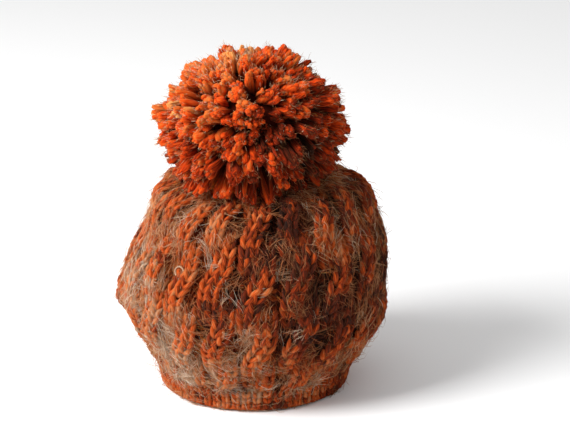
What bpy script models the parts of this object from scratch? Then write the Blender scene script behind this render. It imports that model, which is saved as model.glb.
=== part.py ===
# Knitted tea cosy: one cabled cloth cap with two side slits, and a big pompom sewn on its crown.
# Metres, +Z up. The short slit is on -X, the long one on +X, and the hem stands on Z = 0.

import math
from collections import namedtuple

import bmesh
import bpy
from mathutils import Vector, noise

MM = 0.001

# The cloth
CABLES = 20  # ropes of stitches side by side round the cosy
COLUMNS_PER_CABLE = 6
ROWS = 35  # rings of faces from the hem to the crown
CABLE_DEPTH = 5.5 * MM  # from a rope's crest down to the plain stitches beside it
CABLE_DRIFT = math.radians(6)  # how far the ropes stand to the left at the front and back
CROSSING = 110 * MM  # from the hem up to a place where the strands cross
CABLE_TURN = 47 * MM  # from one crossing to the next
CROSSING_UNEVEN = 0.35  # radians by which the ropes' turns differ
CABLE_WANDER = 0.03  # how far a rope strays from straight, as a share of the pitch
WANDER_LENGTH = 19 * MM  # a rope's stray swings by one radian in this length
ROPE_SHARE = 0.86  # of the pitch that a rope takes up
STRAND_SHARE = 0.27  # a strand's half width, as a share of the pitch
STRAND_SWING = 0.19  # how far a strand swings to each side, as a share of the pitch
STRAND_BEHIND = 0.48  # height of the strand that passes behind, where the front one is 1
HEM_BAND = 15 * MM  # height of the ribbed hem
RIBS = CABLES * COLUMNS_PER_CABLE // 2
RIB_DEPTH = 1.6 * MM
BAND_SET_BACK = 1.5 * MM  # from the surface through the rope crests back to the ribs' crests
BAND_GROOVE = 2.2 * MM  # the cloth is drawn in where the band meets the cables
BAND_TO_INSIDE = 8 * MM  # from the surface through the crests to the inside, at the hem
CREST_TO_INSIDE = 10.5 * MM  # the same from the band up
GATHER_DEPTH = 3.5 * MM  # extra depth of the folds where the crown is gathered
GATHER_WALL = 2 * MM  # extra wall there, behind the deepest creases
LUMP = 1.6 * MM  # slow unevenness of hand-made cloth
LUMP_LENGTH = 55 * MM
LUMPS_ROUND = 2.2  # radius of the ring on which the noise is read
UNDER_HEM = 4 * MM  # how far the hollow's cutter reaches out past the hem
INNER_COLUMNS = 40
INNER_ROWS = 13
INNER_CROWN_STOP = 0.93  # share of the way to the crown's centre where the hollow closes

# Sections of the cosy through its rope crests, in millimetres, from the hem to the crown.
Section = namedtuple("Section", "height front_back spout_side handle_side")
SECTIONS = [
    Section(0, 71, 67, 70),
    Section(14, 74, 70, 73),
    Section(28, 81, 76, 81),
    Section(42, 89, 83, 89),
    Section(56, 95, 90, 95.5),
    Section(70, 98, 98.5, 98),
    Section(84, 98.5, 96, 99),
    Section(98, 96.5, 89, 98.5),
    Section(112, 92.5, 82, 96),
    Section(126, 87, 75.5, 92),
    Section(139, 79.5, 70.5, 86),
    Section(150, 69, 64.5, 77),
    Section(157.5, 55, 54, 62),
    Section(160, 40, 40, 43),
    Section(160, 28, 28, 29),
    Section(160, 19, 19, 19),
]

# The deepest creases between the ropes, with angles in degrees from +X and the rest in millimetres
Crease = namedtuple("Crease", "angle middle half_length half_width depth")
CREASES = [
    Crease(-60, 190, 34, 5, 3.5),
    Crease(-97, 172, 30, 4, 2.0),
    Crease(-98, 92, 26, 4, 2.5),
    Crease(-78, 60, 20, 4, 1.5),
    Crease(-134, 180, 30, 4, 2.5),
    Crease(-40, 120, 32, 4, 2.0),
    Crease(-150, 66, 24, 4, 2.0),
    Crease(30, 184, 30, 4, 3.0),
    Crease(47, 96, 30, 4, 2.0),
    Crease(84, 176, 34, 5, 3.0),
    Crease(102, 80, 30, 4, 2.0),
    Crease(138, 186, 30, 4, 3.0),
    Crease(156, 112, 26, 4, 2.0),
]

# The slits, each an almond that the cloth is pushed apart to make
Slit = namedtuple("Slit", "name angle low high half_width lip")
SLITS = [
    Slit("spout_slit_cutter", math.pi, 70 * MM, 119 * MM, 15 * MM, 2.5 * MM),
    Slit("handle_slit_cutter", 0.0, 58 * MM, 143 * MM, 11 * MM, 1.5 * MM),
]
PUSH_REACH = math.radians(15)  # how far round the cloth is pushed aside by a slit
LIP_REACH = math.radians(7)
SLIT_POINTS = 14  # points down each side of a slit's outline
SLIT_POINTEDNESS = 0.75  # exponent of the almond's outline, where 0.5 is an ellipse
SLIT_CUT_FROM = 45 * MM  # from the cosy's middle, inside the hollow
SLIT_CUT_LENGTH = 80 * MM

# The pompom, a ball of cut yarn tied at its middle and squashed on the crown
POMPOM_CENTRE = Vector((-1 * MM, -7 * MM, 204 * MM))
POMPOM_RADIUS = 67 * MM
POMPOM_TOP = 50 * MM  # from the centre to the top locks' ends
UNDER_FULLNESS = 5.0  # exponent of the lower half's outline, where 2 is an ellipse
ROOT_POINTS = 146  # points on the ball whose triangles are the locks' roots
ROOT_UNEVEN = 0.12  # how far each point strays on a ball of radius 1
ROOT_DETAIL = 5  # the higher, the less two neighbours stray together
CORE_SHARE = 0.62  # of the radius, where the locks part from each other
ROOT_GAP = 0.010  # inset of a lock's root on that ball
LOCK_BELLY = 0.88  # share of the radius where a lock is thickest
BELLY_WIDTH = 0.95  # a lock's width against the room it has at that radius
TIP_WIDTH = 0.66
LOCK_UNEVEN = 0.12  # how much the lengths vary
LENGTH_DETAIL = 9
LOCK_SWAY = 5.0 * MM  # how far the locks lean together to one side
SWAY_DETAIL = 2.3
LOCK_STRAY = 1.0 * MM  # how far each one strays by itself
STRAY_DETAIL = 40
LOCK_DROOP = 7.0 * MM  # how far the lowest locks hang, and the top ones not at all
SEAT_HEIGHT = 160.6 * MM  # the pompom's flat underside, just over the crown
SEAT_SLOPE = -0.76  # faces of the core that look further down than this carry no lock
CROWN_CLEARANCE = 3 * MM  # from a lock to the cloth that it droops over

FULL_TURN = 2 * math.pi
GOLDEN_ANGLE = math.pi * (3 - math.sqrt(5))
SORTING_WAY = Vector((0.31, 0.53, 0.79))  # any slanting direction, to list faces in one order
STRAY_STEPS = (0.0, 17.3, 41.9)  # far enough apart for three noises that don't look alike


def clear_scene():
    for thing in list(bpy.data.objects):
        bpy.data.objects.remove(thing, do_unlink=True)


def smooth_step(low, high, value):
    share = min(1.0, max(0.0, (value - low) / (high - low)))
    return share * share * (3 - 2 * share)


def spline(before, start, end, after, share):
    """Catmull-Rom value between start and end."""
    return 0.5 * (
        2 * start
        + (end - before) * share
        + (2 * before - 5 * start + 4 * end - after) * share**2
        + (3 * start - before - 3 * end + after) * share**3
    )


def stray(place):
    """A small vector that changes unevenly from place to place."""
    return Vector([noise.noise(place + Vector((step, -step, 2 * step))) for step in STRAY_STEPS])


def section_at(place):
    """The section at a place counted in table rows, whole or not."""
    last = len(SECTIONS) - 1
    row = min(int(place), last - 1)
    around = [SECTIONS[min(max(row + step, 0), last)] for step in (-1, 0, 1, 2)]
    values = [spline(*column, place - row) for column in zip(*around)]
    return Section(*(value * MM for value in values))


def base_point(place, angle):
    """A point of the smooth surface through the rope crests."""
    section = section_at(place)
    along = math.cos(angle)
    side = section.handle_side if along > 0 else section.spout_side
    radius = section.front_back + (side - section.front_back) * along * along
    return Vector((radius * along, radius * math.sin(angle), section.height))


def base_normal(place, angle):
    step = 0.02
    last = len(SECTIONS) - 1
    up = base_point(min(place + step, last), angle) - base_point(max(place - step, 0), angle)
    round_ = base_point(place, angle + step) - base_point(place, angle - step)
    return round_.cross(up).normalized()


def meridian():
    """Table places and their distances from the hem along the front of the cosy."""
    steps = 12 * (len(SECTIONS) - 1)
    places = [(len(SECTIONS) - 1) * step / steps for step in range(steps + 1)]
    walked = [0.0]
    for before, after in zip(places, places[1:]):
        stride = base_point(after, math.pi / 2) - base_point(before, math.pi / 2)
        walked.append(walked[-1] + stride.length)
    return places, walked


PLACES, WALKED = meridian()
CLOTH_LENGTH = WALKED[-1]


def place_at(distance):
    """The table place that lies this far from the hem, measured along the cloth."""
    for index in range(1, len(WALKED)):
        if distance <= WALKED[index]:
            share = (distance - WALKED[index - 1]) / (WALKED[index] - WALKED[index - 1])
            return PLACES[index - 1] + share * (PLACES[index] - PLACES[index - 1])
    return PLACES[-1]


def angle_from(angle, centre):
    """Signed angle from centre, between minus and plus half a turn."""
    return (angle - centre + math.pi) % FULL_TURN - math.pi


def slit_half_width(slit, height):
    middle = (slit.low + slit.high) / 2
    share = abs(height - middle) / ((slit.high - slit.low) / 2)
    return slit.half_width * max(0.0, 1 - share**2) ** SLIT_POINTEDNESS


def pushed_aside(angle, place):
    """The angle at which a column lies once both slits have parted the cloth."""
    moved = angle
    for slit in SLITS:
        point = base_point(place, slit.angle)
        opening = slit_half_width(slit, point.z) / max(abs(point.x), 20 * MM)
        away = angle_from(angle, slit.angle)
        moved += math.copysign(opening, away) * math.exp(-abs(away) / PUSH_REACH)
    return moved


def slit_lip(angle, place):
    """How far the slits' edges stand out from the cloth."""
    lift = 0.0
    for slit in SLITS:
        height = base_point(place, slit.angle).z
        open_share = slit_half_width(slit, height) / slit.half_width
        away = angle_from(angle, slit.angle)
        lift += slit.lip * open_share * math.exp(-((away / LIP_REACH) ** 2))
    return lift


def rope_height(across, turned):
    """Height of a two-strand rope's face, from 0 in the ditch beside it to 1 on its crest."""
    best = 0.0
    for strand in (0.0, math.pi):
        swing = STRAND_SWING * math.sin(turned + strand)
        front = 0.5 + 0.5 * math.cos(turned + strand)
        off = (across - swing) / STRAND_SHARE
        if abs(off) < 1:
            level = STRAND_BEHIND + (1 - STRAND_BEHIND) * front
            best = max(best, level * math.sqrt(1 - off * off))
    edge = 1 - smooth_step(ROPE_SHARE / 2 - 0.06, 0.5, abs(across))
    return best * edge


def gathering(to_crown):
    """How far the crown's folds are drawn in, from 0 on the belly to 1 near the seat."""
    return smooth_step(0.58, 0.78, to_crown)


def relief(angle, distance):
    """How far the cloth's face lies under the surface through the crests, as a negative height."""
    if distance < HEM_BAND:
        rib = 0.5 + 0.5 * math.cos(angle * RIBS)
        return -BAND_SET_BACK - RIB_DEPTH * rib
    repeat = angle / FULL_TURN * CABLES
    cable = math.floor(repeat)
    wander = CABLE_WANDER * math.sin(distance / WANDER_LENGTH + cable)
    across = repeat - cable - 0.5 + wander
    turned = math.pi * (distance - CROSSING) / CABLE_TURN + CROSSING_UNEVEN * math.sin(3 * cable)
    leaving_band = smooth_step(HEM_BAND, HEM_BAND + 16 * MM, distance)
    to_crown = distance / CLOTH_LENGTH
    closing = 1 - smooth_step(0.86, 0.97, to_crown)
    depth = (CABLE_DEPTH * leaving_band + GATHER_DEPTH * gathering(to_crown)) * closing
    groove = BAND_GROOVE * (1 - smooth_step(HEM_BAND, HEM_BAND + 8 * MM, distance))
    set_back = BAND_SET_BACK * (1 - leaving_band)
    return -depth * (1 - rope_height(across, turned)) - groove - set_back


def lump(angle, distance):
    """Slow bumps and hollows of the worn cloth, none at the hem or on the crown's seat."""
    round_ = Vector((math.cos(angle), math.sin(angle), 0)) * LUMPS_ROUND
    here = round_ + Vector((0, 0, distance / LUMP_LENGTH))
    fade = smooth_step(0.03, 0.12, distance / CLOTH_LENGTH)
    fade *= 1 - smooth_step(0.80, 0.92, distance / CLOTH_LENGTH)
    return LUMP * noise.noise(here) * fade


def crease_depth(angle, distance):
    """Depth of the creases at a point of the face, which lie one after another round the cosy."""
    depth = 0.0
    for crease in CREASES:
        across = angle_from(angle, math.radians(crease.angle)) / math.radians(crease.half_width)
        along = (distance - crease.middle * MM) / (crease.half_length * MM)
        if abs(along) < 1:
            depth += crease.depth * MM * math.exp(-across * across) * (1 - along * along) ** 2
    return depth


def outside_point(angle, distance):
    place = place_at(distance)
    drifted = angle + CABLE_DRIFT * math.sin(angle)
    moved = pushed_aside(drifted, place)
    height = relief(angle, distance) + lump(angle, distance) + slit_lip(moved, place)
    height -= crease_depth(drifted, distance)
    if distance <= 0:
        flat = base_point(0, moved)
        return flat * ((flat.length + height) / flat.length)
    return base_point(place, moved) + base_normal(place, moved) * height


def inside_point(angle, distance):
    place = place_at(distance)
    depth = BAND_TO_INSIDE + (CREST_TO_INSIDE - BAND_TO_INSIDE) * smooth_step(
        HEM_BAND, 2 * HEM_BAND, distance
    )
    depth += (GATHER_DEPTH + GATHER_WALL) * gathering(distance / CLOTH_LENGTH)
    point = base_point(place, angle) - base_normal(place, angle) * depth
    if distance <= 0:
        point.z = -UNDER_HEM
    return point


def capped_tube(name, columns, rings, ring_point):
    """A closed mesh of stacked rings, with one flat face at each end."""
    mesh = bmesh.new()
    grid = [
        [mesh.verts.new(ring_point(FULL_TURN * i / columns, ring)) for i in range(columns)]
        for ring in rings
    ]
    for lower, upper in zip(grid, grid[1:]):
        for i in range(columns):
            after = (i + 1) % columns
            mesh.faces.new((lower[i], lower[after], upper[after], upper[i]))
    mesh.faces.new(list(reversed(grid[0])))
    mesh.faces.new(grid[-1])
    return finished(name, mesh)


def finished(name, mesh):
    bmesh.ops.recalc_face_normals(mesh, faces=mesh.faces)
    data = bpy.data.meshes.new(name)
    mesh.to_mesh(data)
    mesh.free()
    thing = bpy.data.objects.new(name, data)
    bpy.context.scene.collection.objects.link(thing)
    return thing


def as_cutter(thing):
    thing.hide_render = True
    thing.display_type = "WIRE"
    return thing


def cut(body, cutter):
    modifier = body.modifiers.new("Cut by " + cutter.name, "BOOLEAN")
    modifier.operation = "DIFFERENCE"
    modifier.object = cutter


def outer_rings():
    """Distances from the hem at which the outside has its rings. One lies on the band's edge."""
    band = [0.0, HEM_BAND * 0.6, HEM_BAND]
    left = ROWS - len(band) + 1
    rise = CLOTH_LENGTH - HEM_BAND
    return band + [HEM_BAND + rise * step / left for step in range(1, left + 1)]


def hollow():
    """The space inside the cosy, which reaches out under the hem."""
    top = CLOTH_LENGTH * INNER_CROWN_STOP
    rings = [top * step / INNER_ROWS for step in range(INNER_ROWS + 1)]
    return as_cutter(capped_tube("hollow_cutter", INNER_COLUMNS, rings, inside_point))


def slit_cutter(slit):
    """An upright almond pushed through one side of the cloth."""
    span = slit.high - slit.low
    heights = [slit.low + span * (0.5 - 0.5 * math.cos(math.pi * step / SLIT_POINTS))
               for step in range(SLIT_POINTS + 1)]
    outline = [(slit_half_width(slit, height), height) for height in heights]
    outline += [(-width, height) for width, height in reversed(outline[1:-1])]
    side = math.cos(slit.angle)
    mesh = bmesh.new()
    near = side * SLIT_CUT_FROM
    inner = [mesh.verts.new((near, width, height)) for width, height in outline]
    face = mesh.faces.new(inner)
    pushed = bmesh.ops.extrude_face_region(mesh, geom=[face])["geom"]
    moved = [item for item in pushed if isinstance(item, bmesh.types.BMVert)]
    bmesh.ops.translate(mesh, verts=moved, vec=(side * SLIT_CUT_LENGTH, 0, 0))
    return as_cutter(finished(slit.name, mesh))


def knitted_body(material):
    body = capped_tube(
        "knitted_body", CABLES * COLUMNS_PER_CABLE, outer_rings(), outside_point
    )
    cut(body, hollow())
    for slit in SLITS:
        cut(body, slit_cutter(slit))
    body.data.materials.append(material)
    body.data.shade_smooth()
    body.data.set_sharp_from_angle(angle=math.radians(60))
    return body


def crown_height(x, y):
    """Height of the cloth's crests under a point beside the pompom's seat."""
    angle = math.atan2(y, x)
    reach = math.hypot(x, y)
    top = section_at(len(SECTIONS) - 3).height
    for index in range(len(PLACES) - 1, 0, -1):
        point = base_point(PLACES[index], angle)
        top = point.z
        if math.hypot(point.x, point.y) >= reach:
            break
    return top


def pompom_point(direction, share):
    """A point of the ball at a share of its radius. Its lower half is squashed fuller."""
    sideways = math.hypot(direction.x, direction.y)
    tall = POMPOM_TOP
    fuller = 1.0
    if direction.z < 0:
        tall = POMPOM_CENTRE.z - SEAT_HEIGHT
        power = UNDER_FULLNESS
        fuller = (sideways**power + abs(direction.z) ** power) ** (-1 / power)
    return POMPOM_CENTRE + Vector((
        direction.x * POMPOM_RADIUS,
        direction.y * POMPOM_RADIUS,
        direction.z * tall,
    )) * (share * fuller)


def core_point(direction):
    """A point of the fused core, whose underside is flat where it sits on the crown."""
    point = pompom_point(direction, CORE_SHARE)
    if direction.z < SEAT_SLOPE:
        point.z = SEAT_HEIGHT
    elif direction.z < 0:
        point.z = max(point.z, SEAT_HEIGHT + 1.5 * MM)
    return point


def lock_middle(direction, share):
    """Where the middle of a lock lies, as it leans and droops."""
    length = share * (1 + LOCK_UNEVEN * noise.noise(direction * LENGTH_DETAIL))
    outer = (share - CORE_SHARE) / (1 - CORE_SHARE)
    point = pompom_point(direction, length)
    point += stray(direction * SWAY_DETAIL) * LOCK_SWAY * outer
    point += stray(direction * STRAY_DETAIL) * LOCK_STRAY * outer
    point.z -= LOCK_DROOP * outer * (1 - direction.z) / 2
    return point


def lift_off_crown(vertices):
    """Raises a lock's section until all of it is clear of the cloth below."""
    sunk = [crown_height(*vertex.co.xy) + CROWN_CLEARANCE - vertex.co.z for vertex in vertices]
    for vertex in vertices:
        vertex.co.z += max(0.0, *sunk)


def grow_lock(mesh, face, corners):
    """Draws one lock out of its root in two lengths, to its belly and then to its tip."""
    direction = sum(corners, Vector()).normalized()
    for share, width in ((LOCK_BELLY, BELLY_WIDTH), (1.0, TIP_WIDTH)):
        face = bmesh.ops.extrude_discrete_faces(mesh, faces=[face])["faces"][0]
        middle = lock_middle(direction, share)
        for vertex, corner in zip(face.verts, corners):
            from_middle = pompom_point(corner, share) - pompom_point(direction, share)
            vertex.co = middle + from_middle * width
        lift_off_crown(face.verts)


def root_ball():
    """A ball of uneven triangles, spread along a spiral so that no straight parting shows."""
    mesh = bmesh.new()
    for index in range(ROOT_POINTS):
        height = 1 - 2 * (index + 0.5) / ROOT_POINTS
        reach = math.sqrt(1 - height * height)
        turn = GOLDEN_ANGLE * index
        point = Vector((reach * math.cos(turn), reach * math.sin(turn), height))
        mesh.verts.new((point + ROOT_UNEVEN * stray(point * ROOT_DETAIL)).normalized())
    bmesh.ops.convex_hull(mesh, input=mesh.verts)
    mesh.faces.sort(key=lambda face: face.calc_center_median().dot(SORTING_WAY))
    return mesh


def pompom(material):
    mesh = root_ball()
    roots = [face for face in mesh.faces if face.calc_center_median().normalized().z > SEAT_SLOPE]
    bmesh.ops.inset_individual(mesh, faces=roots, thickness=ROOT_GAP, use_even_offset=True)
    corners = [[vertex.co.normalized() for vertex in face.verts] for face in roots]
    for vertex in mesh.verts:
        vertex.co = core_point(vertex.co.normalized())
    for face, directions in zip(roots, corners):
        grow_lock(mesh, face, directions)
    ball = finished("pompom", mesh)
    ball.data.materials.append(material)
    ball.data.shade_smooth()
    ball.data.set_sharp_from_angle(angle=math.radians(50))
    return ball


def yarn_material(name, colour, roughness):
    material = bpy.data.materials.new(name)
    material.use_nodes = True
    shader = material.node_tree.nodes["Principled BSDF"]
    shader.inputs["Base Color"].default_value = (*colour, 1.0)
    shader.inputs["Roughness"].default_value = roughness
    shader.inputs["Metallic"].default_value = 0.0
    return material


def main():
    clear_scene()
    knitted_body(yarn_material("cabled_yarn", (0.36, 0.11, 0.05), 0.95))
    pompom(yarn_material("pompom_yarn", (0.58, 0.10, 0.02), 0.9))


main()
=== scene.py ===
import math
import bpy
import numpy as np
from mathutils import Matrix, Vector, noise


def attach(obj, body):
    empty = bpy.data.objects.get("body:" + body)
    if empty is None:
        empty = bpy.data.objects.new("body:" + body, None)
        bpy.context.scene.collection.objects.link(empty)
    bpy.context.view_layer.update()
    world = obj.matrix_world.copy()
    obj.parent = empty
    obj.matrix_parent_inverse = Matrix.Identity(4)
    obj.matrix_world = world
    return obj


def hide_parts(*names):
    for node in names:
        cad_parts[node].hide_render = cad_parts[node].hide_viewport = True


# Knitted tea cosy with a pompom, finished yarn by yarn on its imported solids.
# Metres, +Z up. The short slit is on -X, the long one on +X, and the front is on -Y.

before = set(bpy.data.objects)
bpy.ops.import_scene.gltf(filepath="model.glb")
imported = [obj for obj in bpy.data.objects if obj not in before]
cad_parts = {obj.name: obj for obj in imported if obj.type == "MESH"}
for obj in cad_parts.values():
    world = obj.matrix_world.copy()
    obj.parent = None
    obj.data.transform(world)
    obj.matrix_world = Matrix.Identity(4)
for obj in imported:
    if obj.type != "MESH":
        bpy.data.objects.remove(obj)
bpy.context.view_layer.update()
mm = 0.001
fullTurn = 2 * math.pi
dice = np.random.default_rng(7)
print("frame loaded", sorted(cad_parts))

# The photo's view, which places the camera and the pompom's spots
view = {
    "pixelsPerMetre": 1372,
    "distance": 1.8,
    "elevation": math.radians(17.5),
    "aim": (0.024, 0.0, 0.127),
    "photoWidth": 570,
}

# The shape of the cloth, with the same sizes as its solid
clothShape = {
    "cables": 20,
    "cableDepth": 5.5 * mm,       # from a rope's crest down to the ditch beside it
    "cableDrift": math.radians(6),
    "crossing": 110 * mm,         # where the strands cross, measured up the cloth
    "cableTurn": 47 * mm,         # from one crossing to the next
    "crossingUneven": 0.35,
    "cableWander": 0.03,
    "wanderLength": 19 * mm,
    "strandSwing": 0.20,          # shares of the cable pitch
    "crossingSharpness": 0.58,    # 1 is an even wave, less makes the strands cross in a shorter length
    "strandShare": 0.27,
    "strandBehind": 0.22,         # height of the strand behind, where the front one is 1
    "frontBulge": 1.0 * mm,
    "hemBand": 15 * mm,
    "ribs": 60,
    "bandSetBack": 1.5 * mm,
    "bandGroove": 2.2 * mm,
    "gatherDepth": 3.5 * mm,
    "lump": 1.6 * mm,
    "lumpLength": 55 * mm,
    "lumpsRound": 2.2,
    "pushReach": math.radians(15),
    "lipReach": math.radians(7),
    "slitPointedness": 0.75,
    "gathered": (0.58, 0.78),     # shares of the cloth's length between which it draws in
    "closed": (0.86, 0.97),       # and between which its relief fades out
    "leaving": 16 * mm,           # how far over the hem band the ropes rise
}

# Height, front and back, short slit's side, long slit's side, in millimetres
sections = np.array([
    (0, 71, 67, 70),
    (14, 74, 70, 73),
    (28, 81, 76, 81),
    (42, 89, 83, 89),
    (56, 95, 90, 95.5),
    (70, 98, 98.5, 98),
    (84, 98.5, 96, 99),
    (98, 96.5, 89, 98.5),
    (112, 92.5, 82, 96),
    (126, 87, 75.5, 92),
    (139, 79.5, 70.5, 86),
    (150, 69, 64.5, 77),
    (157.5, 55, 54, 62),
    (160, 40, 40, 43),
    (160, 28, 28, 29),
    (160, 19, 19, 19),
]) * mm

# Angle, low end, high end, half width and lip
slits = [
    {"angle": math.pi, "low": 70 * mm, "high": 119 * mm, "halfWidth": 15 * mm, "lip": 2.5 * mm},
    {"angle": 0.0, "low": 58 * mm, "high": 143 * mm, "halfWidth": 11 * mm, "lip": 1.5 * mm},
]

# Angle in degrees, then middle, half length, half width in degrees, depth in millimetres
creases = [
    (-60, 190, 34, 5, 3.5),
    (-97, 172, 30, 4, 2.0),
    (-98, 92, 26, 4, 2.5),
    (-78, 60, 20, 4, 1.5),
    (-134, 180, 30, 4, 2.5),
    (-40, 120, 32, 4, 2.0),
    (-150, 66, 24, 4, 2.0),
    (30, 184, 30, 4, 3.0),
    (47, 96, 30, 4, 2.0),
    (84, 176, 34, 5, 3.0),
    (102, 80, 30, 4, 2.0),
    (138, 186, 30, 4, 3.0),
    (156, 112, 26, 4, 2.0),
]


def smoothStep(low, high, value):
    share = np.clip((value - low) / (high - low), 0, 1)
    return share * share * (3 - 2 * share)


def unit(vectors):
    return vectors / np.maximum(np.linalg.norm(vectors, axis=-1, keepdims=True), 1e-12)


def perlin(points, detail=1.0):
    flat = np.asarray(points).reshape(-1, 3) * detail
    values = [noise.noise(Vector(point)) for point in flat.tolist()]
    return np.array(values).reshape(np.asarray(points).shape[:-1])


def sectionAt(place):
    last = len(sections) - 1
    place = np.clip(place, 0, last)
    row = np.minimum(np.floor(place).astype(int), last - 1)
    share = (place - row)[..., None]
    before, start, end, after = (sections[np.clip(row + step, 0, last)] for step in (-1, 0, 1, 2))
    curve = 2 * start + (end - before) * share
    curve = curve + (2 * before - 5 * start + 4 * end - after) * share**2
    return 0.5 * (curve + (3 * start - before - 3 * end + after) * share**3)


def basePoint(place, angle):
    section = sectionAt(place)
    along = np.cos(angle)
    side = np.where(along > 0, section[..., 3], section[..., 2])
    radius = section[..., 1] + (side - section[..., 1]) * along * along
    return np.stack([radius * along, radius * np.sin(angle), section[..., 0]], axis=-1)


def baseNormal(place, angle):
    step = 0.02
    last = len(sections) - 1
    up = basePoint(np.minimum(place + step, last), angle) - basePoint(np.maximum(place - step, 0), angle)
    around = basePoint(place, angle + step) - basePoint(place, angle - step)
    return unit(np.cross(around, up))


meridianPlaces = np.linspace(0, len(sections) - 1, 12 * (len(sections) - 1) + 1)
meridian = basePoint(meridianPlaces, np.full(len(meridianPlaces), math.pi / 2))
meridianWalked = np.concatenate([[0], np.cumsum(np.linalg.norm(np.diff(meridian, axis=0), axis=1))])
clothLength = meridianWalked[-1]
climbing = 140                    # of the meridian's points, up to where the crown turns flat


def placeAt(distance):
    return np.interp(distance, meridianWalked, meridianPlaces)


def distanceAt(height):
    # The way up the cloth from its hem to a height
    return np.interp(height, meridian[:climbing, 2], meridianWalked[:climbing])


def angleFrom(angle, centre):
    return (angle - centre + math.pi) % fullTurn - math.pi


def slitHalfWidth(slit, height):
    middle = (slit["low"] + slit["high"]) / 2
    share = np.abs(height - middle) / ((slit["high"] - slit["low"]) / 2)
    return slit["halfWidth"] * np.maximum(0, 1 - share**2) ** clothShape["slitPointedness"]


def pushedAside(angle, place):
    moved = angle
    for slit in slits:
        point = basePoint(place, np.full_like(angle, slit["angle"]))
        opening = slitHalfWidth(slit, point[..., 2]) / np.maximum(np.abs(point[..., 0]), 20 * mm)
        away = angleFrom(angle, slit["angle"])
        moved = moved + np.copysign(opening, away) * np.exp(-np.abs(away) / clothShape["pushReach"])
    return moved


def slitLip(angle, place):
    lift = np.zeros_like(angle)
    for slit in slits:
        height = basePoint(place, np.full_like(angle, slit["angle"]))[..., 2]
        openShare = slitHalfWidth(slit, height) / slit["halfWidth"]
        away = angleFrom(angle, slit["angle"])
        lift = lift + slit["lip"] * openShare * np.exp(-((away / clothShape["lipReach"]) ** 2))
    return lift


def creaseDepth(angle, distance):
    depth = np.zeros_like(angle)
    for degrees, middle, halfLength, halfWidth, deep in creases:
        across = angleFrom(angle, math.radians(degrees)) / math.radians(halfWidth)
        along = np.clip((distance - middle * mm) / (halfLength * mm), -1, 1)
        depth = depth + deep * mm * np.exp(-across * across) * (1 - along * along) ** 2
    return depth


def lumpAt(angle, distance):
    ring = clothShape["lumpsRound"]
    height = distance / clothShape["lumpLength"] * np.ones_like(angle)
    here = np.stack([ring * np.cos(angle), ring * np.sin(angle), height], axis=-1)
    share = distance / clothLength
    fade = smoothStep(0.03, 0.12, share) * (1 - smoothStep(0.80, 0.92, share))
    return clothShape["lump"] * perlin(here) * fade


def clothPoint(angle, distance, lift):
    # A point over the surface through the rope crests, and that surface's normal there
    place = placeAt(distance)
    drifted = angle + clothShape["cableDrift"] * np.sin(angle)
    moved = pushedAside(drifted, place)
    height = lift + lumpAt(angle, distance) + slitLip(moved, place) - creaseDepth(drifted, distance)
    normal = baseNormal(place, moved)
    return basePoint(place, moved) + normal * height[..., None], normal


def gathering(distance):
    return smoothStep(*clothShape["gathered"], distance / clothLength)


def ropeDepth(distance):
    band = clothShape["hemBand"]
    leaving = smoothStep(band, band + clothShape["leaving"], distance)
    closing = 1 - smoothStep(*clothShape["closed"], distance / clothLength)
    return (clothShape["cableDepth"] * leaving + clothShape["gatherDepth"] * gathering(distance)) * closing


def grooveDepth(distance):
    band = clothShape["hemBand"]
    groove = clothShape["bandGroove"] * (1 - smoothStep(band, band + clothShape["leaving"] / 2, distance))
    return groove + clothShape["bandSetBack"] * (1 - smoothStep(band, band + clothShape["leaving"], distance))


def ropeTurn(cable, distance):
    turned = math.pi * (distance - clothShape["crossing"]) / clothShape["cableTurn"]
    return turned + clothShape["crossingUneven"] * np.sin(3 * cable)


def strandSway(turned):
    # How far to the side a strand lies, from -1 to 1
    flat = clothShape["crossingSharpness"] * np.cos(turned)
    return np.sin(turned) / np.sqrt(np.sin(turned) ** 2 + flat**2)


def ropeAngle(cable, across, distance):
    wander = clothShape["cableWander"] * np.sin(distance / clothShape["wanderLength"] + cable)
    return (cable + 0.5 + across - wander) / clothShape["cables"] * fullTurn


def strandPoint(cable, strand, side, distance):
    # A point on a strand of a rope, side being its share of a pitch from the strand's middle
    turned = ropeTurn(cable, distance) + math.pi * strand
    across = clothShape["strandSwing"] * strandSway(turned) + side
    front = 0.5 + 0.5 * np.cos(turned)
    level = clothShape["strandBehind"] + (1 - clothShape["strandBehind"]) * front
    crest = level * np.sqrt(1 - (side / clothShape["strandShare"]) ** 2)
    sunk = -ropeDepth(distance) * (1 - crest) - grooveDepth(distance)
    sunk = sunk + clothShape["frontBulge"] * front**2 * ropeDepth(distance) / clothShape["cableDepth"]
    point, normal = clothPoint(ropeAngle(cable, across, distance), distance, sunk)
    return point, normal, front


# Meshes of many small tubes

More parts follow.
